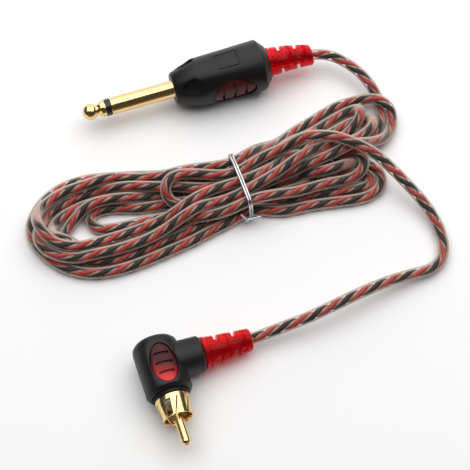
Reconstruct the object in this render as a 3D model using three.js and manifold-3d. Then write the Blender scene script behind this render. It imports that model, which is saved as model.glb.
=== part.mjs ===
// Instrument cable: a straight 6.35 mm mono phone plug at one end, a right-angle RCA plug at the
// other, and a clear-jacketed twisted pair between them, wound in a hank held by a wire tie.
// Millimetres, +Z up, the surface it lies on at z = 0, origin midway between the two plugs.
import * as THREE from "three";
import { mergeVertices } from "three/addons/utils/BufferGeometryUtils.js";
import Module from "manifold-3d";

const wasm = await Module();
wasm.setup();

// ---- driving dimensions ----
const GAP = 0.3; // kept between a piece and the one it touches
const SEAM = 0.1; // kept between the end faces of turned pieces on one axis

const CABLE_D = 4.0; // clear jacket, outside
const JACKET_WALL = 0.35;
const CORE_D = 1.3; // one insulated conductor
const LAY = 12; // length of cable in which the pair twists once

const PLUG_D = 6.35; // phone plug sleeve
const PLUG_REACH = 34.3; // tip end to housing nose
const TIP_LENGTH = 8.7;
const RING_LENGTH = 1.8; // insulating ring between tip and sleeve

const BODY_D = [17.8, 19.0]; // phone housing body, behind the nose and at the rear
const NOSE_D = 12;
const NOSE_LENGTH = 8.8;
const BODY_END = 33.4; // where the rear chamfer starts
const HOUSING_LENGTH = 36.1;
const REAR_D = 13;

const BARREL_D = 15.7; // RCA housing
const BARREL_BACK = 8.2; // arm axis to the closed end
const BARREL_FRONT = 11.8; // arm axis to the front face
const ARM_D = 12.4;
const ARM_LENGTH = 14.5; // barrel axis to the end of the arm
const RCA_PIN_D = 3.18;
const RCA_PIN_END = 29.6; // arm axis to the pin's end
const SHIELD_START = 12.9;
const SHIELD_END = 20.3;
const SHIELD_BASE_D = 11.6;
const SHIELD_MOUTH_D = 10.4;
const SHIELD_WALL = 0.55;

const RELIEF_LENGTH = 17.2; // both strain reliefs, outside their housings
const RELIEF_D = [10.9, 7.7];

const PHONE_AT = [-10.1, 59.2, 8.7]; // housing nose, centre
const PHONE_TILT = 1.4; // lying on its tapered body, the plug points a little down
const PHONE_YAW = 17.9;
const RCA_AT = [-12.1, -50.3, 7.85]; // where the barrel and arm axes cross
const RCA_YAW = 18.5;
const RCA_ROLL = 6; // the arm leans down towards its cable

const HANK_HEIGHT = 12;
const TIE_AT = [14.7, 19.2]; // where the tie crosses the hank
const TIE_YAW = 20;

// ---- materials ----
const paint = (color, roughness, metalness = 0) =>
  new THREE.MeshStandardMaterial({ color, roughness, metalness });
const GOLD = paint(0xd9a441, 0.22, 1);
const STEEL = paint(0xc9ccd0, 0.3, 1);
const BLACK = paint(0x161616, 0.55);
const RED = paint(0xc4101c, 0.3);
const CLEAR = paint(0xd8c8bd, 0.35);
const WIRE_RED = paint(0xb5302b, 0.45);
const WIRE_BLACK = paint(0x202020, 0.45);
const NATURAL = paint(0xe6e0d0, 0.6);

// ---- solids ----
const rad = (deg) => (deg * Math.PI) / 180;

function solid(geometry) {
  const g = geometry.index ? geometry.toNonIndexed() : geometry.clone();
  for (const name of Object.keys(g.attributes)) if (name !== "position") g.deleteAttribute(name);
  const merged = mergeVertices(g, 1e-4);
  return new wasm.Manifold(
    new wasm.Mesh({
      numProp: 3,
      vertProperties: merged.attributes.position.array,
      triVerts: new Uint32Array(merged.index.array),
    }),
  );
}

function surface(body) {
  const mesh = body.getMesh();
  const g = new THREE.BufferGeometry();
  g.setAttribute("position", new THREE.BufferAttribute(mesh.vertProperties, 3));
  g.setIndex(new THREE.BufferAttribute(mesh.triVerts, 1));
  g.computeVertexNormals();
  return g;
}

// A turned piece about the X axis; the outline is [x, radius] pairs, outside first as x grows.
function turned(outline, sides = 24) {
  const points = outline.map(([x, r]) => new THREE.Vector2(r, x));
  if (outline[0][1] > 0) points.push(points[0].clone());
  return new THREE.LatheGeometry(points, sides).rotateZ(-Math.PI / 2);
}

// The same outline with a point at least every step, for a piece that is bent afterwards.
function stepped(outline, step) {
  const out = [];
  outline.forEach(([x, r], i) => {
    const [nx, nr] = outline[(i + 1) % outline.length];
    const count = Math.max(1, Math.round(Math.abs(nx - x) / step));
    for (let k = 0; k < count; k++) {
      const t = k / count;
      out.push([x + (nx - x) * t, r + (nr - r) * t]);
    }
  });
  return out;
}

// A plain ring or tube about X, from x0 to x1.
const tube = (x0, x1, inner, outer, sides = 24) =>
  turned([[x0, outer], [x1, outer], [x1, inner], [x0, inner]], sides);

const rod = (x0, x1, r, sides = 24) => turned([[x0, 0], [x0, r], [x1, r], [x1, 0]], sides);

const box = (x0, x1, y0, y1, z0, z1) =>
  new THREE.BoxGeometry(x1 - x0, y1 - y0, z1 - z0).translate(
    (x0 + x1) / 2,
    (y0 + y1) / 2,
    (z0 + z1) / 2,
  );

// A prism along Z with an oval section, long axis along X.
function oval(cx, length, width, z0, z1) {
  const shape = new THREE.Shape();
  shape.absellipse(cx, 0, length / 2, width / 2, 0, 2 * Math.PI);
  return new THREE.ExtrudeGeometry(shape, {
    depth: z1 - z0,
    bevelEnabled: false,
    curveSegments: 12,
  }).translate(0, 0, z0);
}

// A prism along Z with a teardrop section, its point towards -X.
function teardrop(cx, length, width, z0, z1) {
  const r = width / 2;
  const shape = new THREE.Shape();
  shape.moveTo(cx - length + r, 0);
  shape.quadraticCurveTo(cx - r, -r * 0.9, cx, -r);
  shape.absarc(cx, 0, r, -Math.PI / 2, Math.PI / 2, false);
  shape.quadraticCurveTo(cx - r, r * 0.9, cx - length + r, 0);
  return new THREE.ExtrudeGeometry(shape, {
    depth: z1 - z0,
    bevelEnabled: false,
    curveSegments: 5,
  }).translate(0, 0, z0);
}

// A rod along a smooth curve through the points.
function along(points, radius, sides, steps) {
  const section = new THREE.Shape();
  for (let i = 0; i < sides; i++) {
    const a = (2 * Math.PI * (i + 0.5)) / sides;
    const x = radius * Math.cos(a);
    const y = radius * Math.sin(a);
    if (i === 0) section.moveTo(x, y);
    else section.lineTo(x, y);
  }
  section.closePath();
  const path = new THREE.CatmullRomCurve3(points.map((p) => new THREE.Vector3(...p)), false);
  return new THREE.ExtrudeGeometry(section, { extrudePath: path, steps, bevelEnabled: false });
}

// Bends a relief and what runs in it, so that its end is moved by [sideways, up].
function bend(geometry, [sideways, up]) {
  const p = geometry.attributes.position;
  for (let i = 0; i < p.count; i++) {
    const t = Math.max(0, p.getX(i) / RELIEF_LENGTH);
    p.setY(i, p.getY(i) + sideways * t * t);
    p.setZ(i, p.getZ(i) + up * t * t);
  }
  return geometry;
}

function piece(parent, name, material, geometry) {
  const mesh = new THREE.Mesh(geometry, material);
  mesh.name = name;
  parent.add(mesh);
  return mesh;
}

// ---- strain relief, the same on both plugs: along +X from its housing at x = 0 ----
const COLLAR_R = 3.4; // the part held inside the housing
const COLLAR_BACK = -2.4;

const RELIEF_ROLL = 15; // the slots are turned this far about the relief
const ROOT_GROOVE = [1.4, 2.2];
const WEB = 3.4; // left standing between the two slots of a pair
const SLOT_DEPTH = 1.5;

// A groove round the relief at x, wider at its mouth, cut as two slots between two webs.
function slotPair(x, radius, floorWidth, websUpright) {
  const mouth = floorWidth + 0.7;
  const groove = turned([
    [x - mouth / 2, radius + 0.6],
    [x + mouth / 2, radius + 0.6],
    [x + floorWidth / 2, radius - SLOT_DEPTH],
    [x - floorWidth / 2, radius - SLOT_DEPTH],
  ], 20);
  const [across, up] = websUpright ? [WEB / 2, 9] : [9, WEB / 2];
  const webs = box(x - mouth, x + mouth, -across, across, -up, up).rotateX(rad(RELIEF_ROLL));
  return solid(groove).subtract(solid(webs));
}

function reliefBody() {
  const [root, end] = RELIEF_D;
  const taper = (x) => root / 2 + ((end - root) / 2) * (x / RELIEF_LENGTH);
  const [grooveStart, grooveEnd] = ROOT_GROOVE;
  const outline = [
    [COLLAR_BACK, COLLAR_R],
    [GAP, COLLAR_R],
    [GAP, root / 2],
    [grooveStart, root / 2],
    [grooveStart + 0.2, root / 2 - 0.8],
    [grooveEnd - 0.2, root / 2 - 0.8],
    [grooveEnd, taper(grooveEnd)],
    [RELIEF_LENGTH - 0.5, taper(RELIEF_LENGTH - 0.5)],
    [RELIEF_LENGTH, end / 2 - 0.5],
    [RELIEF_LENGTH, CABLE_D / 2 + GAP],
    [COLLAR_BACK, CABLE_D / 2 + GAP],
  ];
  let body = solid(turned(stepped(outline, 5), 20));
  // slots on the flanks and slots above and below take turns along the relief
  for (const [x, floorWidth, websUpright] of [
    [5.3, 1.3, true],
    [8.4, 0.7, false],
    [11.5, 1.3, true],
    [14.3, 0.7, false],
  ]) {
    body = body.subtract(slotPair(x, taper(x), floorWidth, websUpright));
  }
  return surface(body);
}

// Cable end inside a strain relief and housing: a jacket tube with the two conductors inside it.
// The conductors twist round each other up to the jacket's end, then part and run to their lugs.
function cableEnd(group, prefix, jacketStart, redLug, blackLug, lean) {
  const stop = RELIEF_LENGTH;
  const outer = CABLE_D / 2;
  const section = [
    [jacketStart, outer],
    [stop, outer],
    [stop, outer - JACKET_WALL],
    [jacketStart, outer - JACKET_WALL],
  ];
  const jacket = turned(stepped(section, 5), 12);
  piece(group, prefix + "_cable_end", CLEAR, bend(jacket, lean));
  for (const [colour, phase, lug, paintOf] of [
    ["red", 90, redLug, WIRE_RED],
    ["black", 270, blackLug, WIRE_BLACK],
  ]) {
    const points = [];
    const count = 12;
    for (let i = 0; i <= count; i++) {
      const x = stop + ((jacketStart - stop) * i) / count;
      const a = rad(phase) + (2 * Math.PI * (x - jacketStart)) / LAY;
      points.push([x, 0.82 * Math.cos(a), 0.82 * Math.sin(a)]);
    }
    points.push(...lug);
    piece(group, prefix + "_wire_" + colour, paintOf, bend(along(points, CORE_D / 2, 6, 20), lean));
  }
}

const object = new THREE.Group();

// ---- phone plug: axis along X, nose of the housing at x = 0, tip towards -X ----
const phone = new THREE.Group();
phone.position.set(...PHONE_AT);
phone.rotation.set(0, rad(-PHONE_TILT), rad(PHONE_YAW), "ZYX");
object.add(phone);

const R = PLUG_D / 2;
const ROD_R = 1.2;
const ringFront = -PLUG_REACH + TIP_LENGTH;
const ringBack = ringFront + RING_LENGTH;

// the tip's ball, neck and shoulder, in one with the rod that runs back through the sleeve
const BALL_R = 3.0;
const ballX = -PLUG_REACH + BALL_R;
const tipOutline = [[-PLUG_REACH, 0], [-PLUG_REACH + 0.05, 0.5]];
for (let i = 1; i <= 6; i++) {
  const a = rad(170 - i * 21);
  tipOutline.push([ballX + BALL_R * Math.cos(a), BALL_R * Math.sin(a)]);
}
tipOutline.push(
  [ballX + 2.35, 1.87],
  [ballX + 2.75, 1.87],
  [ballX + 3.6, 2.4],
  [ballX + 3.95, 2.95],
  [ringFront - SEAM - 0.5, 3.05],
  [ringFront - SEAM, 2.95],
  [ringFront - SEAM, ROD_R],
  [6.5, ROD_R],
  [6.5, 0],
);
piece(phone, "phone_tip", GOLD, turned(tipOutline, 28));

piece(phone, "phone_insulator_ring", BLACK, tube(ringFront, ringBack, ROD_R + GAP, R - 0.05));

piece(phone, "phone_inner_insulator", NATURAL, tube(ringBack + SEAM, 4.5, ROD_R + GAP, 2.05));

// sleeve with the shoulder that seats it behind the nose
const SLEEVE_BORE = 2.05 + GAP;
piece(
  phone,
  "phone_sleeve",
  GOLD,
  turned([
    [ringBack + SEAM, R - 0.2],
    [ringBack + SEAM + 0.2, R],
    [1.8, R],
    [1.8, 4.6],
    [3.2, 4.6],
    [3.2, SLEEVE_BORE],
    [ringBack + SEAM, SLEEVE_BORE],
  ], 32),
);

// solder lugs: the sleeve's is a tab below, the tip's an eyelet on the rod
function lug(x0, x1, z, wide) {
  const hole = new THREE.CylinderGeometry(0.45, 0.45, 4, 10).rotateX(Math.PI / 2);
  const tab = solid(box(x0, x1, -wide, wide, z - 0.3, z + 0.3));
  return surface(tab.subtract(solid(hole.translate(x1 - 1.4, 0, z))));
}
piece(phone, "phone_sleeve_lug", STEEL, lug(3.2 + SEAM, 11.5, -3.6, 1.3));
const tipLug = solid(tube(4.5 + SEAM, 6.3, ROD_R + 0.06, 2.2, 20))
  .add(solid(box(5.0, 10.5, -1.0, 1.0, 1.5, 2.1)))
  .subtract(solid(new THREE.CylinderGeometry(0.45, 0.45, 4, 10).rotateX(Math.PI / 2).translate(9.3, 0, 1.8)));
piece(phone, "phone_tip_lug", STEEL, surface(tipLug));

// housing shell: tapered nose, round body that widens slightly, chamfered rear
const [FRONT_R, BACK_R] = BODY_D.map((d) => d / 2);
const SIDE_R = (FRONT_R + BACK_R) / 2;
const NOSE_BORE = 4.9;
const SHELL_BORE = 7.2;
const BORE_STEP = 11.8; // where the bore opens out behind the nose
const REAR_WALL = 3.0;
let shell = solid(
  turned([
    [0, NOSE_D / 2 - 0.5],
    [0.5, NOSE_D / 2],
    [NOSE_LENGTH - 0.4, FRONT_R - 0.15],
    [NOSE_LENGTH + 0.3, FRONT_R],
    [BODY_END, BACK_R],
    [HOUSING_LENGTH, REAR_D / 2],
    [HOUSING_LENGTH, COLLAR_R + GAP],
    [HOUSING_LENGTH - REAR_WALL, COLLAR_R + GAP],
    [HOUSING_LENGTH - REAR_WALL, SHELL_BORE],
    [BORE_STEP, SHELL_BORE],
    [BORE_STEP, NOSE_BORE],
    [1.5, NOSE_BORE],
    [1.5, R + 0.08],
    [0, R + 0.08],
  ], 40),
);
// blank frame pressed into the top
const FRAME = { from: 16.8, to: 25, half: 3.4, line: 0.4, depth: 0.3 };
const frameBlock = (inset) =>
  solid(
    box(
      FRAME.from + inset,
      FRAME.to - inset,
      -FRAME.half + inset,
      FRAME.half - inset,
      0,
      12,
    ),
  );
const pressed = solid(tube(FRAME.from, FRAME.to, SIDE_R - FRAME.depth, 12, 48));
shell = shell.subtract(frameBlock(0).subtract(frameBlock(FRAME.line)).intersect(pressed));
// teardrop recesses at the nose, one in each quarter, with floors along the nose's slope
const NOSE_SLOPE = 18;
for (const a of [45, 135, 225, 315]) {
  const drop = teardrop(9.3, 8.1, 6.0, 4.45, 12).rotateY(rad(-NOSE_SLOPE)).rotateX(rad(a - 90));
  shell = shell.subtract(solid(drop));
}
// side windows
const WINDOW = { x: 21.2, length: 16.6, width: 11.7, groovePitch: 4.3, grooves: [3.6, 4.4, 3.8] };
const toSide = (geometry, side) => geometry.rotateX(rad(-90 * side));
for (const side of [1, -1]) {
  shell = shell.subtract(solid(toSide(oval(WINDOW.x, WINDOW.length, WINDOW.width, 4, 12), side)));
}
piece(phone, "phone_housing", BLACK, surface(shell));

// a prism along Z with a straight-sided section across X and round ends
function slotPrism(x, halfLength, width, z0, z1) {
  const r = width / 2;
  const shape = new THREE.Shape();
  shape.absarc(x, halfLength - r, r, 0, Math.PI, false);
  shape.absarc(x, r - halfLength, r, Math.PI, 2 * Math.PI, false);
  shape.closePath();
  return new THREE.ExtrudeGeometry(shape, {
    depth: z1 - z0,
    bevelEnabled: false,
    curveSegments: 5,
  }).translate(0, 0, z0);
}

// finger grip: a pad that fills the window, with three grooves, on a wider back inside the shell
const GROOVE = { width: 0.95, depth: 0.9 };
function grip(window, faceR, boreR) {
  const backR = boreR - 1.2;
  const face = solid(rod(-20, 60, faceR, 48));
  const pad = solid(
    oval(window.x, window.length - 2 * GAP, window.width - 2 * GAP, backR - 2.6, 14),
  ).intersect(face).subtract(solid(rod(-20, 60, backR, 32)));
  const back = solid(oval(window.x, window.length + 0.4, window.width + 1.2, 1, 14)).intersect(
    solid(tube(-20, 60, backR, boreR - GAP, 32)),
  );
  let body = pad.add(back);
  const outside = solid(tube(-20, 60, faceR - GROOVE.depth, 14, 48));
  window.grooves.forEach((halfLength, i) => {
    const x = window.x + (i - 1) * window.groovePitch;
    const groove = solid(slotPrism(x, halfLength, GROOVE.width, 1, 14)).intersect(outside);
    body = body.subtract(groove);
  });
  return body;
}
for (const [side, name] of [
  [-1, "phone_grip_near"],
  [1, "phone_grip_far"],
]) {
  piece(phone, name, RED, toSide(surface(grip(WINDOW, SIDE_R - 0.4, SHELL_BORE)), side));
}

const phoneTail = new THREE.Group();
phoneTail.position.x = HOUSING_LENGTH;
phone.add(phoneTail);
const PHONE_LEAN = [-0.6, -1.8];
piece(phoneTail, "phone_strain_relief", RED, bend(reliefBody(), PHONE_LEAN));
cableEnd(
  phoneTail,
  "phone",
  -6,
  [
    [-10, 0.8, 1.6],
    [-17, 0.3, 3.2],
    [-25.6, 0, 3.1],
  ],
  [
    [-10, -0.6, -1.4],
    [-16, 0, -2.2],
    [-23.5, 0, -2.5],
  ],
  PHONE_LEAN,
);

// ---- RCA plug: barrel along -Y, cable arm along +X, window on top ----
const rca = new THREE.Group();
rca.position.set(...RCA_AT);
rca.rotation.set(0, rad(RCA_ROLL), rad(RCA_YAW), "ZYX");
object.add(rca);
// turned pieces are drawn along +X and swung so that +X becomes the barrel's -Y
const barrel = new THREE.Group();
barrel.rotation.z = rad(-90);
rca.add(barrel);

const BARREL_R = BARREL_D / 2;
const ARM_R = ARM_D / 2;
const BARREL_BORE = 5.8;
const SEAT_R = 6.3; // step that holds the front collar
let elbow = solid(
  turned(
    [
      [-BARREL_BACK, 0],
      [-BARREL_BACK, BARREL_R - 2.6],
      [-BARREL_BACK + 0.4, BARREL_R - 1.3],
      [-BARREL_BACK + 1.4, BARREL_R - 0.35],
      [-BARREL_BACK + 2.8, BARREL_R],
      [BARREL_FRONT - 1.2, BARREL_R],
      [BARREL_FRONT, BARREL_R - 0.9],
      [BARREL_FRONT, 0],
    ],
    36,
  ),
);
const swing = (geometry) => geometry.rotateZ(rad(90)); // +X to +Y, the arm's way in barrel axes
const arm = turned([
  [0, 0],
  [0, ARM_R],
  [ARM_LENGTH - 0.8, ARM_R],
  [ARM_LENGTH, ARM_R - 0.8],
  [ARM_LENGTH, 0],
], 32);
elbow = elbow.add(solid(swing(arm)));
elbow = elbow
  .subtract(solid(rod(-BARREL_BACK + 2.0, BARREL_FRONT + 1, BARREL_BORE, 32)))
  .subtract(solid(rod(BARREL_FRONT - 1.6, BARREL_FRONT + 1, SEAT_R, 32)))
  .subtract(solid(swing(rod(0, ARM_LENGTH - 3.0, 4.3))))
  .subtract(solid(swing(rod(0, ARM_LENGTH + 1, COLLAR_R + GAP))));
const RCA_WINDOW = { x: 2.9, length: 14.4, width: 9, groovePitch: 3.4, grooves: [2.6, 3.0, 2.7] };
elbow = elbow.subtract(solid(oval(RCA_WINDOW.x, RCA_WINDOW.length, RCA_WINDOW.width, 3, 12)));
piece(barrel, "rca_housing", BLACK, surface(elbow));

const rcaGrip = grip(RCA_WINDOW, BARREL_R - 0.3, BARREL_BORE);
piece(barrel, "rca_grip", RED, surface(rcaGrip));

piece(
  barrel,
  "rca_collar",
  BLACK,
  turned([
    [BARREL_FRONT - 1.3, SEAT_R - 0.15],
    [SHIELD_START - SEAM, SEAT_R - 0.15],
    [SHIELD_START - SEAM, 3.4],
    [BARREL_FRONT - 1.3, 3.4],
  ]),
);

// insulator that carries the pin in the shield's base
piece(
  barrel,
  "rca_insulator",
  NATURAL,
  turned([
    [9.0, 3.1],
    [SHIELD_START + 0.9, 3.1],
    [SHIELD_START + 0.9, 4.6],
    [SHIELD_START + 2.4, 4.6],
    [SHIELD_START + 2.4, RCA_PIN_D / 2 + 0.1],
    [9.0, RCA_PIN_D / 2 + 0.1],
  ]),
);

// shield: a cup whose skirt is split into petals by slanting slits, with one wide side opening
const baseR = SHIELD_BASE_D / 2;
const mouthR = SHIELD_MOUTH_D / 2;
let shield = solid(
  turned(
    [
      [SHIELD_START, baseR - 0.3],
      [SHIELD_START + 0.3, baseR],
      [SHIELD_START + 1.6, baseR - 0.02],
      [SHIELD_END - 1.0, mouthR - 0.12],
      [SHIELD_END, mouthR],
      [SHIELD_END, mouthR - SHIELD_WALL],
      [SHIELD_END - 1.0, mouthR - SHIELD_WALL - 0.12],
      [SHIELD_START + 1.6, baseR - SHIELD_WALL],
      [SHIELD_START + 0.6, baseR - SHIELD_WALL],
      [SHIELD_START + 0.6, 3.4],
      [SHIELD_START, 3.4],
    ],
    36,
  ),
);
// a slit leans round the axis; angles are measured from the top, positive towards the arm
const SLIT_LEAN = 26;
const slitStart = SHIELD_START + 1.7;
function slanted(width, from, to, angleAtMouth, lean) {
  const length = to - from;
  const reach = Math.tan(rad(lean)) * mouthR; // sideways run over the slit's length
  const cut = new THREE.BoxGeometry(length, width, 5);
  const skew = cut.attributes.position;
  for (let i = 0; i < skew.count; i++) {
    const t = 0.5 - skew.getX(i) / length;
    skew.setY(i, skew.getY(i) + reach * t);
  }
  return cut.translate((from + to) / 2, 0, 5.7).rotateX(rad(-angleAtMouth));
}
for (const a of [-18, 29, 85, 142, 200, 258]) {
  shield = shield.subtract(solid(slanted(0.5, slitStart, SHIELD_END + 1, a, SLIT_LEAN)));
}
shield = shield.subtract(solid(slanted(2.5, slitStart, SHIELD_END - 0.6, -37, 10)));
piece(barrel, "rca_shield", GOLD, surface(shield));

// hollow centre pin with a rounded open end and a slit along its upper side
const pinR = RCA_PIN_D / 2;
let pin = solid(
  turned([
    [7.4, pinR],
    [RCA_PIN_END - 1.0, pinR],
    [RCA_PIN_END - 0.35, pinR - 0.25],
    [RCA_PIN_END, pinR - 0.65],
    [RCA_PIN_END, 0.62],
    [RCA_PIN_END - 6, 0.95],
    [7.4, 0.95],
  ], 32),
);
pin = pin.subtract(solid(box(SHIELD_START + 3.5, RCA_PIN_END - 1.4, -0.16, 0.16, 0.2, 3).rotateX(rad(28))));
piece(barrel, "rca_centre_pin", GOLD, surface(pin));

// solder lugs inside the elbow
const pinLug = solid(tube(5.6, 7.2, 0.95, pinR + 0.35, 20)).add(solid(box(2.2, 6.2, -0.9, 0.9, -1.9, -1.3)));
piece(barrel, "rca_pin_lug", STEEL, surface(pinLug));
const shieldLug = solid(tube(9.3, 10.3, 3.25, 4.2, 20)).add(solid(box(3.6, 10.0, -1.0, 1.0, -4.2, -3.6)));
piece(barrel, "rca_shield_lug", STEEL, surface(shieldLug));

const rcaTail = new THREE.Group();
rcaTail.position.x = ARM_LENGTH;
rca.add(rcaTail);
const RCA_LEAN = [0.4, 0.4];
piece(rcaTail, "rca_strain_relief", RED, bend(reliefBody(), RCA_LEAN));
cableEnd(
  rcaTail,
  "rca",
  -4,
  [
    [-8, 0.8, -0.6],
    [-12, -0.6, -0.5],
    [-14.5, -3.2, -0.5],
  ],
  [
    [-8, -0.6, -2.0],
    [-11.5, -1.6, -2.8],
    [-14.0, -3.6, -2.9],
  ],
  RCA_LEAN,
);

// ---- cable, lying free ----
const PHONE_LEAD = [
  [41.6, 75.1, 8.1],
  [45.2, 75.6, 7.6],
  [48.9, 74.9, 7.3],
  [53.1, 72.8, 6.9],
  [57.8, 69.2, 6.4],
  [61.6, 64.8, 5.6],
  [63.1, 62.5, 5.1],
];
const RCA_LEAD = [
  [18.6, -39.5, 4.9],
  [21.9, -38.3, 5.1],
  [29.1, -35.6, 5.8],
  [37.7, -32.5, 7],
  [46.5, -28.2, 7.5],
  [55.3, -23.4, 7],
  [64.4, -18.6, 5.6],
  [73.7, -14.6, 3.8],
  [79.7, -12.2, 2.7],
  [83.7, -8.8, 2.3],
  [85.3, -4, 2.2],
  [84.9, 1.6, 2.4],
  [82.4, 8.3, 3.4],
  [78.7, 14, 4.9],
  [73.9, 19.2, 6.8],
  [68.6, 24.4, 8.9],
];
piece(object, "cable_lead_phone", CLEAR, along(PHONE_LEAD, CABLE_D / 2, 8, 8));
piece(object, "cable_lead_rca", CLEAR, along(RCA_LEAD, CABLE_D / 2, 8, 30));

// the hank: its plan outline, narrow at the tie, with a round lobe at each end
const HANK_OUTLINE = [
  [-60, 3.6],
  [-57, 15.6],
  [-49, 21.6],
  [-39, 25.1],
  [-21, 26.9],
  [-3, 27.8],
  [11, 30.2],
  [25, 37.6],
  [36, 45.6],
  [47, 53.1],
  [57, 58.4],
  [66, 57.9],
  [71.2, 50.6],
  [70.6, 41.6],
  [66.8, 31.6],
  [66.1, 24.6],
  [62, 20.1],
  [53, 16.6],
  [43, 14.1],
  [30, 12.1],
  [18, 10.1],
  [0, 1.6],
  [-14, -6.9],
  [-27, -14.9],
  [-37, -17],
  [-48, -14.6],
  [-55, -7.9],
];
const outline = new THREE.Shape(
  new THREE.SplineCurve([...HANK_OUTLINE, HANK_OUTLINE[0]].map((p) => new THREE.Vector2(...p))).getPoints(54),
);
const TIE = { width: 2.0, groove: 2.6, thick: 0.9, half: 10.3, low: GAP + 0.9 };
const toTie = (geometry) => geometry.rotateZ(rad(TIE_YAW)).translate(TIE_AT[0], TIE_AT[1], 0);
let hank = solid(new THREE.ExtrudeGeometry(outline, { depth: HANK_HEIGHT, bevelEnabled: false }));
const around = solid(box(-TIE.groove / 2, TIE.groove / 2, -30, 30, -5, 30)).subtract(
  solid(box(-5, 5, -TIE.half + TIE.low, TIE.half - TIE.low, TIE.low, HANK_HEIGHT - TIE.low)),
);
hank = hank.subtract(solid(toTie(surface(around))));
piece(object, "cable_hank", CLEAR, surface(hank));

// wire tie: a band round the waist of the hank with its twisted tail at the near side
const tieBand = solid(box(-TIE.width / 2, TIE.width / 2, -TIE.half, TIE.half, 0, HANK_HEIGHT))
  .subtract(
    solid(
      box(-5, 5, -TIE.half + TIE.thick, TIE.half - TIE.thick, TIE.thick, HANK_HEIGHT - TIE.thick),
    ),
  )
  .add(solid(box(-1, 1, -TIE.half - 3, -TIE.half + 0.2, 1.5, 3.0)));
piece(object, "hank_tie", STEEL, toTie(surface(tieBand)));

export default object;
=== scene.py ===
"""Instrument cable: looks for the phone plug, the RCA plug and the clear-jacketed cord between them.

Metres, row frame: +Z up from the floor, +Y from the RCA plug to the phone plug.
"""
import math

import bmesh
import bpy
import numpy as np
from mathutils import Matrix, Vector


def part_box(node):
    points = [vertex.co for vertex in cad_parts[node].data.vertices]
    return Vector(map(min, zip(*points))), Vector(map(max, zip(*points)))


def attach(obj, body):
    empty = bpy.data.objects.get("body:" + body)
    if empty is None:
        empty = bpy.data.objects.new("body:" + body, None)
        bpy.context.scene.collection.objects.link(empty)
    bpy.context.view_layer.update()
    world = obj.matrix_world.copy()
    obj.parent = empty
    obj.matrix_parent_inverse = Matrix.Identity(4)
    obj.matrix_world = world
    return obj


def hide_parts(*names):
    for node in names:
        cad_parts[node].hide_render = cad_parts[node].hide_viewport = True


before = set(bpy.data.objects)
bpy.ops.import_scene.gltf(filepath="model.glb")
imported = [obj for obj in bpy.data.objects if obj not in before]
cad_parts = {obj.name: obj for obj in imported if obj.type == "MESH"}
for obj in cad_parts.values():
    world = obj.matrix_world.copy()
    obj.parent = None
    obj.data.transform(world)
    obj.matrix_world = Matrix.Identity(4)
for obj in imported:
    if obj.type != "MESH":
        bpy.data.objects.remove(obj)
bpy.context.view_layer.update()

MM = 0.001

# ---- sizes, millimetres ----
CABLE_D = 4.0
CORE_D = 1.76  # one insulated conductor
CORE_OFFSET = 0.88  # conductor axis to cable axis
FILLER_D = 1.8  # the milky filling between the two conductors
LAY = 11.8  # the pair twists once in this length
STEP = 2.5  # spacing of the points while the cord settles
WIRE_STEP = 0.9  # spacing of the rings of the conductors and the filling
WIRE_SIDES = 10

TIE_AT = (14.7, 19.2)  # where the tie crosses the hank
TIE_D = 0.75  # one strand of the tie
TIE_TWIST_END = (16.6, 6.5, 4.0)
TIE_TAIL = [(21.7, 7.8, 4.6), (14.7, 8.1, 5.4)]  # where each strand's end lies
TIE_SPREAD = 1.15  # the two strands lie this many diameters apart
TIE_GAP = 0.1  # between the tie and the hank
TIE_STEP = 0.8  # spacing of the loop's points
TIE_WINDOW = 2.5  # the loop goes round the cord that lies this close to the tie, along the hank
TIE_START = 4.4  # height at which the twist leaves the hank
TIE_TURNS = 2.5  # the strands twist round each other this often
TWIST_OUT = 0.55  # and their middles lie this many diameters off the twist's own
HANK_YAW = 19.4  # the hank's long axis, degrees
HANK_HALF = 14.0  # half the hank's width at the tie, with room to spare

# ---- how the cord settles, in each of the rounds ----
ROUNDS = 400
SINK = 0.02  # millimetres down
STIFFNESS = 0.5  # share of the way to an evenly curved line
HOLD_FREE = 0.02  # share of the way back to the plan that it was laid on
HOLD_LANE = 0.3  # the same, under the tie
LANE_REACH = 3.0  # millimetres of cord held each side of a lane point
PUSH = 0.3  # share of an overlap that each of two strands gives way

LONG_TURN = 26  # route steps round a whole turn
SHORT_TURN = 14  # and round the short one at the end of the travel

# where the cord passes under the tie, in order of travel: across the hank, height
LANES = [
    (-4.1, 2.0), (0.0, 2.0), (-8.4, 2.0), (8.4, 2.0), (-6.2, 5.5), (4.1, 2.0), (-8.2, 8.6),
    (6.4, 5.5), (-4.0, 9.0), (2.1, 5.5), (0.2, 9.0), (8.6, 8.8), (-2.0, 5.5), (4.5, 9.3),
]
# the hank's turns at each end, in order of travel: how far the turn reaches from the tie,
# how far across its outgoing and its returning run lie, and the heights on the way out, at the end and back
LEFT_TURNS = [
    (-54.0, 0.2, 10.6, 2.0, 2.0, 2.0),
    (-73.5, -15.0, 23.5, 2.0, 2.0, 3.5),
    (-65.5, -11.0, 11.2, 3.0, 2.5, 4.0),
    (-69.0, -6.5, 13.0, 5.0, 5.0, 6.0),
    (-74.5, -9.0, 16.0, 6.0, 6.0, 7.0),
    (-73.4, -5.0, 18.6, 10.0, 9.5, 10.0),
    (-26.5, 0.6, 10.4, 9.5, 12.0, 12.5),
]
RIGHT_TURNS = [
    (51.0, -2.0, -14.8, 6.0, 2.0, 2.0),
    (47.0, -1.0, -11.5, 4.0, 5.5, 5.5),
    (46.0, 1.0, -9.5, 5.0, 7.0, 7.0),
    (56.5, 13.0, 4.0, 5.0, 5.5, 7.5),
    (53.5, 17.6, 9.0, 6.0, 6.0, 8.0),
    (63.6, 22.4, 1.5, 7.0, 6.0, 6.0),
]

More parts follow.
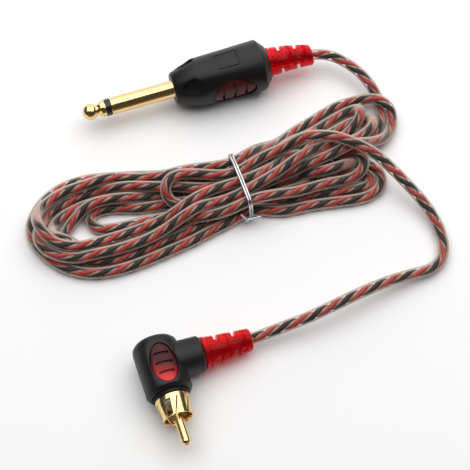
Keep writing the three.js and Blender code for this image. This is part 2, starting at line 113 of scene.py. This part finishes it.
# ---- the cord's free stretches, listed; the first points are the CAD leads' own ----
PHONE_EXIT = (40.9, 75.0, 8.2)  # where the cord leaves each strain relief
RCA_EXIT = (17.9, -39.8, 4.9)
PHONE_LEAD = [
    (41.6, 75.1, 8.1), (45.2, 75.6, 7.6), (48.9, 74.9, 7.3), (53.1, 72.8, 6.9),
    (57.8, 69.2, 6.4), (61.6, 64.8, 5.6), (63.1, 62.5, 5.1),
]
PHONE_JOIN = [
    (65.6, 59.3, 3.6), (66.8, 55.0, 2.6), (66.9, 50.0, 2.1), (65.4, 45.2, 2.1),
    (62.2, 40.9, 2.1), (56.0, 36.5, 2.1), (46.0, 31.0, 2.1),
]
RCA_LEAD = [
    (18.6, -39.5, 4.9), (21.9, -38.3, 5.1), (29.1, -35.6, 5.8), (37.7, -32.5, 7.0),
    (46.5, -28.2, 7.5), (55.3, -23.4, 7.0), (64.4, -18.6, 5.6), (73.7, -14.6, 3.8),
    (79.7, -12.2, 2.7), (83.7, -8.8, 2.3), (85.3, -4.0, 2.2), (84.9, 1.6, 2.4),
    (82.4, 8.3, 3.4), (78.7, 14.0, 4.9), (73.9, 19.2, 6.8), (68.6, 24.4, 8.9),
]
RCA_JOIN = [
    (62.0, 29.9, 11.2), (55.4, 33.0, 12.8), (47.9, 35.2, 13.9), (37.7, 35.1, 14.2), (26.0, 31.0, 13.4),
]


# ---- camera, light, floor ----
def camera():
    data = bpy.data.cameras.new("camera")
    data.lens = 112.6
    data.sensor_width = 36
    data.clip_start, data.clip_end = 0.01, 10
    cam = bpy.data.objects.new("camera", data)
    bpy.context.scene.collection.objects.link(cam)
    cam.location = Vector((12.6, -249.7, 452.0)) * MM
    aim = Vector((12.6, 2.9, 0.0)) * MM
    cam.rotation_euler = (aim - cam.location).to_track_quat("-Z", "Y").to_euler()
    bpy.context.scene.camera = cam


def area_light(name, place, aim, size, power, colour=(1, 1, 1)):
    data = bpy.data.lights.new(name, "AREA")
    data.shape = "RECTANGLE"
    data.size, data.size_y = size
    data.energy = power
    data.color = colour
    lamp = bpy.data.objects.new(name, data)
    bpy.context.scene.collection.objects.link(lamp)
    lamp.location = place
    lamp.rotation_euler = (Vector(aim) - Vector(place)).to_track_quat("-Z", "Y").to_euler()


def light():
    scene = bpy.context.scene
    scene.view_settings.view_transform = "Standard"
    world = bpy.data.worlds.new("world")
    world.use_nodes = True
    background = world.node_tree.nodes["Background"]
    background.inputs["Color"].default_value = (0.94, 0.96, 1.0, 1)
    background.inputs["Strength"].default_value = 0.07
    scene.world = world
    area_light("overhead", (0.05, 0.45, 1.0), (0.05, 0.45, 0.0), (2.0, 1.5), 21.0, (1.0, 0.995, 0.985))
    area_light("back", (0.0, 1.3, 0.45), (0.0, 0.0, 0.2), (2.0, 0.9), 6.5)


def floor():
    bpy.ops.mesh.primitive_plane_add(size=6)
    plane = bpy.context.object
    plane.name = "floor"
    mat = new_material("floor")
    bsdf = mat.node_tree.nodes["Principled BSDF"]
    bsdf.inputs["Base Color"].default_value = (0.93, 0.93, 0.935, 1)
    bsdf.inputs["Roughness"].default_value = 0.9
    bsdf.inputs["Specular IOR Level"].default_value = 0.1
    plane.data.materials.append(mat)


# ---- materials ----
def new_material(name):
    mat = bpy.data.materials.new(name)
    mat.use_nodes = True
    return mat


class Nodes:
    """Short names for building a material's nodes."""

    def __init__(self, mat):
        self.tree = mat.node_tree
        self.bsdf = mat.node_tree.nodes["Principled BSDF"]
        self.output = mat.node_tree.nodes["Material Output"]

    def add(self, kind, values=(), **settings):
        node = self.tree.nodes.new("ShaderNode" + kind)
        for key, value in settings.items():
            setattr(node, key, value)
        for key, value in dict(values).items():
            node.inputs[key].default_value = value
        return node

    def link(self, source, target):
        self.tree.links.new(source, target)

    def noise(self, scale, detail=3.0, rough=0.55):
        place = self.add("TexCoord")
        node = self.add("TexNoise", {"Scale": scale, "Detail": detail, "Roughness": rough})
        self.link(place.outputs["Object"], node.inputs["Vector"])
        return node.outputs["Fac"]

    def ramp(self, source, stops):
        node = self.add("ValToRGB")
        band = node.color_ramp
        while len(band.elements) < len(stops):
            band.elements.new(0.5)
        for element, (at, colour) in zip(band.elements, stops):
            element.position = at
            element.color = (*colour, 1)
        self.link(source, node.inputs["Fac"])
        return node.outputs["Color"]

    def span(self, source, low, high):
        node = self.add("MapRange", {"To Min": low, "To Max": high})
        self.link(source, node.inputs["Value"])
        return node.outputs["Result"]

    def bump(self, height, strength, distance):
        node = self.add("Bump", {"Strength": strength, "Distance": distance})
        self.link(height, node.inputs["Height"])
        self.link(node.outputs["Normal"], self.bsdf.inputs["Normal"])


def plastic(name, dark, pale, rough, grain, depth, gloss=0.5):
    """Moulded plastic: slight colour mottle, uneven gloss and a fine grain."""
    mat = new_material(name)
    n = Nodes(mat)
    n.link(n.ramp(n.noise(90), [(0.35, dark), (0.7, pale)]), n.bsdf.inputs["Base Color"])
    n.link(n.span(n.noise(400), rough[0], rough[1]), n.bsdf.inputs["Roughness"])
    n.bump(n.noise(grain, 2.0), 0.5, depth)
    n.bsdf.inputs["Specular IOR Level"].default_value = gloss
    return mat


def gold(name):
    """Polished gold plate with a very fine grain and faint smears."""
    mat = new_material(name)
    n = Nodes(mat)
    n.bsdf.inputs["Metallic"].default_value = 1.0
    colours = [(0.3, (0.84, 0.58, 0.25)), (0.75, (0.93, 0.69, 0.34))]
    n.link(n.ramp(n.noise(120), colours), n.bsdf.inputs["Base Color"])
    n.link(n.span(n.noise(600, 4.0), 0.10, 0.20), n.bsdf.inputs["Roughness"])
    n.bump(n.noise(2500, 2.0), 0.25, 0.00002)
    return mat


def steel(name):
    """Bright drawn or tinned metal, unevenly glossy."""
    mat = new_material(name)
    n = Nodes(mat)
    n.bsdf.inputs["Metallic"].default_value = 1.0
    colours = [(0.3, (0.55, 0.56, 0.58)), (0.7, (0.75, 0.75, 0.76))]
    n.link(n.ramp(n.noise(300), colours), n.bsdf.inputs["Base Color"])
    n.link(n.span(n.noise(900), 0.18, 0.34), n.bsdf.inputs["Roughness"])
    n.bump(n.noise(3000, 2.0), 0.3, 0.00002)
    return mat


def see_through(name, tint, body, rough, solid, facing_span):
    """Clear or tinted plastic: tint is what passes through it, body is its own milky colour,
    and solid is how much of that body shows where the surface faces the viewer and where it turns away,
    which is read between the two ends of facing_span."""
    mat = new_material(name)
    n = Nodes(mat)
    n.link(n.ramp(n.noise(150), [(0.3, body[0]), (0.7, body[1])]), n.bsdf.inputs["Base Color"])
    n.link(n.span(n.noise(500), rough[0], rough[1]), n.bsdf.inputs["Roughness"])
    n.bump(n.noise(900, 2.0), 0.3, 0.00003)
    clear = n.add("BsdfTransparent", {"Color": (*tint, 1)})
    facing = n.add("LayerWeight", {"Blend": 0.5})
    share = n.add("MapRange", {
        "From Min": facing_span[0], "From Max": facing_span[1], "To Min": solid[0], "To Max": solid[1],
    })
    n.link(facing.outputs["Facing"], share.inputs["Value"])
    mix = n.add("MixShader")
    n.link(share.outputs["Result"], mix.inputs["Fac"])
    n.link(clear.outputs["BSDF"], mix.inputs[1])
    n.link(n.bsdf.outputs["BSDF"], mix.inputs[2])
    n.link(mix.outputs["Shader"], n.output.inputs["Surface"])
    return mat


def grip_painted_glow(name, low, high):
    """Red plastic over black, with painted light: dark at the back and painted brighter towards the front,
    standing in for light that comes through the red.
    """
    mat = new_material(name)
    n = Nodes(mat)
    place = n.add("TexCoord")
    parts = n.add("SeparateXYZ")
    n.link(place.outputs["Object"], parts.inputs["Vector"])
    # painted glow: the colour brightens along Y towards the front, standing in for light shining through the
    # plastic
    front = n.add("MapRange", {"From Min": low, "From Max": high, "To Min": 1.0, "To Max": 0.0})
    n.link(parts.outputs["Y"], front.inputs["Value"])
    mottle = n.add("Math", {1: 0.12}, operation="MULTIPLY_ADD")
    n.link(n.noise(260), mottle.inputs[0])
    n.link(front.outputs["Result"], mottle.inputs[2])
    # dark maroon at the back up to a painted glow of bright red at the front
    colours = [(0.52, (0.060, 0.007, 0.009)), (0.78, (0.34, 0.016, 0.018)), (0.98, (0.85, 0.045, 0.038))]
    n.link(n.ramp(mottle.outputs["Value"], colours), n.bsdf.inputs["Base Color"])
    n.link(n.span(n.noise(500), 0.26, 0.4), n.bsdf.inputs["Roughness"])
    n.bsdf.inputs["Specular IOR Level"].default_value = 0.2
    n.bump(n.noise(900, 2.0), 0.4, 0.00004)
    return mat


def make_materials():
    grip_low, grip_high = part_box("rca_grip")
    return {
        "gold": gold("gold_plate"),
        "steel": steel("tinned_steel"),
        "tie": steel("bright_wire"),
        "black": plastic(
            "matt_black", (0.005, 0.0046, 0.0042), (0.010, 0.0092, 0.0085),
            (0.34, 0.5), 1400, 0.00008, 0.33,
        ),
        "collar": plastic(
            "flat_black", (0.006, 0.006, 0.006), (0.011, 0.011, 0.011),
            (0.5, 0.65), 1200, 0.00005, 0.3,
        ),
        "ring": plastic(
            "gloss_black", (0.008, 0.008, 0.008), (0.012, 0.012, 0.012),
            (0.22, 0.3), 900, 0.00002,
        ),
        "natural": plastic(
            "natural_insulator", (0.55, 0.50, 0.40), (0.66, 0.61, 0.50),
            (0.35, 0.5), 900, 0.00003,
        ),
        "grip": plastic(
            "dark_red_grip", (0.075, 0.008, 0.010), (0.115, 0.012, 0.014),
            (0.26, 0.4), 900, 0.00004, 0.22,
        ),
        "grip_painted_glow": grip_painted_glow("red_grip_painted_glow", grip_low[1], grip_high[1]),
        "red": see_through(
            "translucent_red", (0.88, 0.12, 0.12), ((0.84, 0.010, 0.022), (0.94, 0.020, 0.036)), (0.06, 0.16),
            (0.18, 0.78), (0.2, 0.9),
        ),
        "jacket": see_through(
            "clear_jacket", (0.97, 0.94, 0.92), ((0.50, 0.41, 0.35), (0.60, 0.50, 0.44)), (0.20, 0.34),
            (0.05, 0.88), (0.17, 0.52),
        ),
        "stub": see_through(
            "clear_jacket_inside", (0.98, 0.96, 0.95), ((0.50, 0.41, 0.35), (0.60, 0.50, 0.44)), (0.20, 0.34),
            (0.02, 0.30), (0.3, 0.9),
        ),
        "filler": plastic(
            "milky_filler", (0.33, 0.24, 0.19), (0.42, 0.32, 0.26),
            (0.4, 0.55), 900, 0.00002,
        ),
        "wire_red": plastic(
            "wire_red", (0.46, 0.030, 0.022), (0.54, 0.042, 0.030),
            (0.3, 0.42), 800, 0.00003,
        ),
        "wire_black": plastic(
            "wire_black", (0.006, 0.006, 0.006), (0.012, 0.011, 0.011),
            (0.35, 0.5), 800, 0.00003, 0.3,
        ),
    }


# ---- the cord: a route through every turn of the hank, then left to settle ----
def turn(shape, lane_out, lane_back, count):
    """One end turn of the hank, from its lane under the tie round to the next lane, in hank axes.
    It is a teardrop: tangent to the hank's axis at the tie and widest three quarters of the way out."""
    reach, side_out, side_back, h_out, h_end, h_back = shape
    (v0, h0), (v1, h1) = lane_out, lane_back
    off_out = side_out - (v0 + (v1 - v0) / 3)
    off_back = side_back - (v0 + (v1 - v0) * 2 / 3)
    widest = 0.75  # share of the reach at which the sides are given
    middle = (off_out + off_back) / (2 * widest)
    half = (off_out - off_back) / (2 * widest * math.sin(math.radians(120)))
    points = []
    for i in range(1, count):
        t = i / count
        far = (1 - math.cos(2 * math.pi * t)) / 2
        across = v0 + (v1 - v0) * t + middle * far + half * math.sin(2 * math.pi * t) * far
        height = np.interp(t, [0, 1 / 3, 0.5, 2 / 3, 1], [h0, h_out, h_end, h_back, h1])
        points.append((reach * far, across, height))
    return points


def from_hank(along, across, height):
    """A point in hank axes, in row millimetres."""
    c, s = math.cos(math.radians(HANK_YAW)), math.sin(math.radians(HANK_YAW))
    return (TIE_AT[0] + along * c - across * s, TIE_AT[1] + along * s + across * c, height)


def route():
    """Every point that the cord passes, and a mark on each: lead points hold still, lane points are held."""
    points = [(p, "lead") for p in [PHONE_EXIT, *PHONE_LEAD]] + [(p, "free") for p in PHONE_JOIN]
    for k, shape in enumerate(LEFT_TURNS):
        lane_out, lane_back = LANES[2 * k], LANES[2 * k + 1]
        if k > 0:
            far_turn = turn(RIGHT_TURNS[k - 1], LANES[2 * k - 1], lane_out, LONG_TURN)
            points += [(from_hank(*p), "free") for p in far_turn]
        points.append((from_hank(0, *lane_out), "lane"))
        steps = SHORT_TURN if k == len(LEFT_TURNS) - 1 else LONG_TURN
        points += [(from_hank(*p), "free") for p in turn(shape, lane_out, lane_back, steps)]
        points.append((from_hank(0, *lane_back), "lane"))
    points.append((RCA_JOIN[-1], "free"))
    points += [(p, "lead") for p in reversed([RCA_EXIT, *RCA_LEAD, *RCA_JOIN[:-1]])]
    return points


def smooth_line(points, per):
    """A centripetal Catmull-Rom curve through the points, with per steps between each two."""
    p = np.array(points, float)
    p = np.vstack([2 * p[0] - p[1], p, 2 * p[-1] - p[-2]])
    knots = np.concatenate([[0], np.cumsum(np.linalg.norm(np.diff(p, axis=0), axis=1) ** 0.5)])
    line = []
    for i in range(1, len(p) - 2):
        t0, t1, t2, t3 = knots[i - 1:i + 3]
        for t in np.linspace(t1, t2, per, endpoint=False):
            a1 = ((t1 - t) * p[i - 1] + (t - t0) * p[i]) / (t1 - t0)
            a2 = ((t2 - t) * p[i] + (t - t1) * p[i + 1]) / (t2 - t1)
            a3 = ((t3 - t) * p[i + 1] + (t - t2) * p[i + 2]) / (t3 - t2)
            b1 = ((t2 - t) * a1 + (t - t0) * a2) / (t2 - t0)
            b2 = ((t3 - t) * a2 + (t - t1) * a3) / (t3 - t1)
            line.append(((t2 - t) * b1 + (t - t1) * b2) / (t2 - t1))
    line.append(p[-2])
    return np.array(line)


def spaced(line, step):
    """The line again with points step apart, and how far along each of the first line's points is."""
    along = np.concatenate([[0], np.cumsum(np.linalg.norm(np.diff(line, axis=0), axis=1))])
    at = np.linspace(0, along[-1], int(round(along[-1] / step)) + 1)
    return np.stack([np.interp(at, along, line[:, k]) for k in range(3)], axis=1), along


def contacts(x, i, j, reach):
    """The pairs of points that lie closer than reach."""
    close = ((x[i] - x[j]) ** 2).sum(1) < reach * reach
    return i[close], j[close]


def settle(line, still, hold):
    """Lets the cord come to rest on the floor and on itself. It keeps its length and its stiffness,
    its plan is pulled weakly towards where it was laid, and the points marked still don't move."""
    x, laid = line.copy(), line.copy()
    count = len(x)
    length = np.linalg.norm(np.diff(x, axis=0), axis=1).mean()
    free = (~still).astype(float)[:, None]
    order = np.arange(count)
    far_i, far_j = np.where(np.triu(order[None, :] - order[:, None] > 3))
    for step in range(ROUNDS):
        x[:, 2] -= SINK * free[:, 0]
        x[:, :2] += (laid[:, :2] - x[:, :2]) * (hold * (1 - 0.7 * step / ROUNDS))[:, None]
        fair = x.copy()
        fair[2:-2] = (4 * x[1:-3] + 4 * x[3:-1] - x[:-4] - x[4:]) / 6
        x += (fair - x) * STIFFNESS * free
        if step % 5 == 0:
            near_i, near_j = contacts(x, far_i, far_j, CABLE_D + 1)
        for _ in range(2):
            apart = x[near_j] - x[near_i]
            distance = np.maximum(np.linalg.norm(apart, axis=1), 1e-6)
            deep = np.clip(CABLE_D * 1.01 - distance, 0, None)
            push = apart / distance[:, None] * (PUSH * deep)[:, None]
            moved, touched = np.zeros_like(x), np.zeros(count)
            for ends, way in ((near_i, -1), (near_j, 1)):
                np.add.at(moved, ends, way * push)
                np.add.at(touched, ends, deep > 0)
            x += moved / np.sqrt(np.maximum(touched, 1))[:, None] * free
            x[:, 2] = np.maximum(x[:, 2], CABLE_D / 2)
        for _ in range(2):
            for first in (0, 1):
                a = np.arange(first, count - 1, 2)
                gap = x[a + 1] - x[a]
                pull = gap * (1 - length / np.linalg.norm(gap, axis=1))[:, None] * 0.5
                x[a] += pull * free[a]
                x[a + 1] -= pull * free[a + 1]
    return x


def settled_cord():
    """The cord's centreline, in metres."""
    marked = route()
    raw = smooth_line([p for p, _ in marked], 8)
    line, along = spaced(raw, STEP)
    at = np.linspace(0, along[-1], len(line))
    places = along[::8][:len(marked)]
    leads = [s for s, (_, mark) in zip(places, marked) if mark == "lead"]
    middle = along[-1] / 2
    still = (at <= max(s for s in leads if s < middle)) | (at >= min(s for s in leads if s > middle))
    hold = np.full(len(line), HOLD_FREE)
    for s, (_, mark) in zip(places, marked):
        if mark == "lane":
            hold[np.abs(at - s) < LANE_REACH] = HOLD_LANE
    x = settle(line, still, hold)
    return smooth_line(x, 2) * MM


def tube_along(name, centre, radius, sides, material):
    """A closed mesh tube whose rings sit on the centre line."""
    tangent = np.gradient(centre, axis=0)
    tangent /= np.linalg.norm(tangent, axis=1)[:, None]
    normals = carried_normals(centre, tangent)
    side = np.cross(tangent, normals)
    angle = np.linspace(0, 2 * math.pi, sides, endpoint=False)
    ring = normals[:, None] * np.cos(angle)[None, :, None] + side[:, None] * np.sin(angle)[None, :, None]
    points = (centre[:, None] + ring * radius).reshape(-1, 3)
    faces = []
    for i in range(len(centre) - 1):
        for k in range(sides):
            a, b = i * sides + k, i * sides + (k + 1) % sides
            faces.append((a, b, b + sides, a + sides))
    faces.append(tuple(range(sides))[::-1])
    last = (len(centre) - 1) * sides
    faces.append(tuple(range(last, last + sides)))
    return mesh_piece(name, points, faces, material)


def carried_normals(centre, tangent):
    """A normal carried along the line without turning about it."""
    n = np.cross(tangent[0], (0, 0, 1.0))
    n /= np.linalg.norm(n)
    out = [n]
    for t in tangent[1:]:
        n = n - t * (n @ t)
        n /= np.linalg.norm(n)
        out.append(n)
    return np.array(out)


def mesh_piece(name, points, faces, material):
    """A smooth-shaded mesh object."""
    mesh = bpy.data.meshes.new(name)
    mesh.from_pydata([tuple(p) for p in points], [], faces)
    mesh.update()
    mesh.shade_smooth()
    piece = bpy.data.objects.new(name, mesh)
    bpy.context.scene.collection.objects.link(piece)
    piece.data.materials.append(material)
    return piece


def round_curve(name, line, diameter, resolution, material):
    """A round curve along the line, which is in metres; the diameter is in millimetres."""
    curve = bpy.data.curves.new(name, "CURVE")
    curve.dimensions = "3D"
    curve.bevel_depth = diameter / 2 * MM
    curve.bevel_resolution = resolution
    curve.use_fill_caps = True
    curve.twist_mode = "MINIMUM"
    spline = curve.splines.new("POLY")
    spline.points.add(len(line) - 1)
    spline.points.foreach_set("co", np.hstack([line, np.ones((len(line), 1))]).ravel())
    spline.use_smooth = True
    piece = bpy.data.objects.new(name, curve)
    bpy.context.scene.collection.objects.link(piece)
    curve.materials.append(material)
    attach(piece, "root")
    return piece


def cord(mats):
    """The jacket, and in it the two conductors that twist round each other and the filling between them."""
    line = settled_cord()
    jacket = round_curve("cord_jacket", line, CABLE_D, 6, mats["jacket"])
    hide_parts("cable_lead_phone", "cable_lead_rca", "cable_hank")

    fine = spaced(line / MM, WIRE_STEP)[0] * MM
    tangent = np.gradient(fine, axis=0)
    tangent /= np.linalg.norm(tangent, axis=1)[:, None]
    normal = carried_normals(fine, tangent)
    side = np.cross(tangent, normal)
    along = np.arange(len(fine)) * WIRE_STEP
    inside = []
    for name, start in (("red", 0.0), ("black", math.pi)):
        angle = start - 2 * math.pi * along / LAY
        offset = normal * np.cos(angle)[:, None] + side * np.sin(angle)[:, None]
        centre = (fine + offset * CORE_OFFSET * MM)[1:-1]
        wire = tube_along("cord_wire_" + name, centre, CORE_D / 2 * MM, WIRE_SIDES, mats["wire_" + name])
        inside.append(wire)
    filler = tube_along("cord_filler", fine[1:-1], FILLER_D / 2 * MM, WIRE_SIDES, mats["filler"])
    inside.append(filler)
    for piece in inside:
        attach(piece, "root")
    length = float(np.linalg.norm(np.diff(line, axis=0), axis=1).sum())
    return jacket, inside, line, length


# ---- the tie: two bright strands round the hank, twisted together at the front ----
def hull(points):
    """The outline round plane points, counter-clockwise."""
    points = sorted(map(tuple, points))
    halves = []
    for run in (points, points[::-1]):
        half = []
        for q in run:
            while len(half) > 1:
                (ax, ay), (bx, by) = half[-2], half[-1]
                if (bx - ax) * (q[1] - ay) - (by - ay) * (q[0] - ax) > 0:
                    break
                half.pop()
            half.append(q)
        halves.append(half[:-1])
    return np.array(halves[0] + halves[1])


def tie(line, mats):
    """Each strand goes once round the hank from the front, and then into the twist."""
    yaw = math.radians(HANK_YAW)
    out = line[:, :2] / MM - np.array(TIE_AT)
    along = out[:, 0] * math.cos(yaw) + out[:, 1] * math.sin(yaw)
    across = -out[:, 0] * math.sin(yaw) + out[:, 1] * math.cos(yaw)
    under = (np.abs(along) < TIE_WINDOW) & (np.abs(across) < HANK_HALF)
    centres = np.stack([across[under], line[under, 2] / MM], axis=1)
    angles = np.linspace(0, 2 * math.pi, 24, endpoint=False)
    reach = CABLE_D / 2 + TIE_D / 2 + TIE_GAP
    around = centres[:, None] + reach * np.stack([np.cos(angles), np.sin(angles)], axis=1)[None]
    outline = hull(around.reshape(-1, 2))
    outline[:, 1] = np.maximum(outline[:, 1], TIE_D / 2)
    front = int(np.argmin(outline[:, 0] + 2 * np.abs(outline[:, 1] - TIE_START)))
    outline = np.vstack([outline[front:], outline[:front + 1]])
    smooth, _ = spaced(np.hstack([outline, np.zeros((len(outline), 1))]), TIE_STEP)
    pieces = []
    for k, side in enumerate((-0.5, 0.5)):
        loop = np.array([from_hank(side * TIE_D * TIE_SPREAD, v, h) for v, h, _ in smooth])
        twist = []
        for t in np.linspace(0, 1, 30)[1:]:
            angle = 2 * math.pi * TIE_TURNS * t + math.pi * k
            middle = (1 - t) * loop[0] + t * np.array(TIE_TWIST_END)
            swing = np.array([math.cos(angle), 0.3 * math.sin(angle), math.sin(angle)])
            point = middle + swing * TIE_D * TWIST_OUT * min(1.0, 4 * t)
            point[2] = max(point[2], TIE_D / 2)
            twist.append(point)
        tail = [(1 - t) * twist[-1] + t * np.array(TIE_TAIL[k]) for t in np.linspace(0, 1, 8)[1:]]
        whole = np.vstack([loop, twist, tail]) * MM
        name = "hank_tie_strand_%d" % (k + 1)
        pieces.append(round_curve(name, whole, TIE_D, 4, mats["tie"]))
    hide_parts("hank_tie")
    return pieces


# ---- what the CAD nodes wear ----
PLAIN_LOOKS = {
    "phone_insulator_ring": "ring",
    "phone_inner_insulator": "natural",
    "phone_sleeve_lug": "steel",
    "phone_tip_lug": "steel",
    "phone_cable_end": "stub",
    "phone_wire_red": "wire_red",
    "phone_wire_black": "wire_black",
    "rca_insulator": "natural",
    "rca_pin_lug": "steel",
    "rca_shield_lug": "steel",
    "rca_cable_end": "stub",
    "rca_wire_red": "wire_red",
    "rca_wire_black": "wire_black",
}
# these are shown by copies with rounded edges: the look, the edge radius in millimetres and the slot
ROUNDED_LOOKS = {
    "phone_tip": ("gold", 0.05, "gold_plate"),
    "phone_sleeve": ("gold", 0.08, "gold_plate"),
    "phone_housing": ("black", 0.22, "black_plastic"),
    "phone_grip_near": ("grip", 0.15, "red_plastic"),
    "phone_grip_far": ("grip", 0.15, "red_plastic"),
    "phone_strain_relief": ("red", 0.1, "red_plastic"),
    "rca_housing": ("black", 0.22, "black_plastic"),
    "rca_grip": ("grip_painted_glow", 0.15, "red_plastic"),
    "rca_collar": ("collar", 0.15, "black_plastic"),
    "rca_shield": ("gold", 0.08, "gold_plate"),
    "rca_centre_pin": ("gold", 0.06, "gold_plate"),
    "rca_strain_relief": ("red", 0.1, "red_plastic"),
}
WELD = 2e-6  # metres: corners closer than this are one
FLAT_ANGLE = math.radians(0.6)  # faces that meet at less are one
EDGE_ANGLE = math.radians(34)  # edges sharper than this are rounded
CREASE_ANGLE = math.radians(40)  # and any sharper than this afterwards stay creased


def rounded_copy(node, radius, material):
    """A copy of the node, its facets shaded as one smooth surface and its edges rounded."""
    bm = bmesh.new()
    bm.from_mesh(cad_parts[node].data)
    bmesh.ops.remove_doubles(bm, verts=bm.verts[:], dist=WELD)
    bmesh.ops.dissolve_limit(bm, angle_limit=FLAT_ANGLE, verts=bm.verts[:], edges=bm.edges[:])
    mesh = bpy.data.meshes.new(node + "_finish")
    bm.to_mesh(mesh)
    bm.free()
    for name in ("custom_normal", "sharp_edge", "sharp_face"):
        if name in mesh.attributes:
            mesh.attributes.remove(mesh.attributes[name])
    mesh.shade_smooth()
    piece = bpy.data.objects.new(node + "_finish", mesh)
    bpy.context.scene.collection.objects.link(piece)
    bevel = piece.modifiers.new("round_edges", "BEVEL")
    bevel.width = radius * MM
    bevel.segments = 2
    bevel.limit_method = "ANGLE"
    bevel.angle_limit = EDGE_ANGLE
    bevel.use_clamp_overlap = True
    bpy.context.view_layer.update()
    done = bpy.data.meshes.new_from_object(piece.evaluated_get(bpy.context.evaluated_depsgraph_get()))
    piece.modifiers.clear()
    piece.data = done
    done.shade_smooth()
    done.set_sharp_from_angle(angle=CREASE_ANGLE)
    done.materials.clear()
    done.materials.append(material)
    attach(piece, "root")
    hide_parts(node)


def dress_nodes(mats):
    for node, look in PLAIN_LOOKS.items():
        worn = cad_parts[node].data.materials
        worn.clear()
        worn.append(mats[look])
    for node, (look, radius, slot) in ROUNDED_LOOKS.items():
        rounded_copy(node, radius, mats[look])


camera()
light()
floor()
materials = make_materials()
jacket, inside, line, length = cord(materials)
tie_strands = tie(line, materials)
dress_nodes(materials)
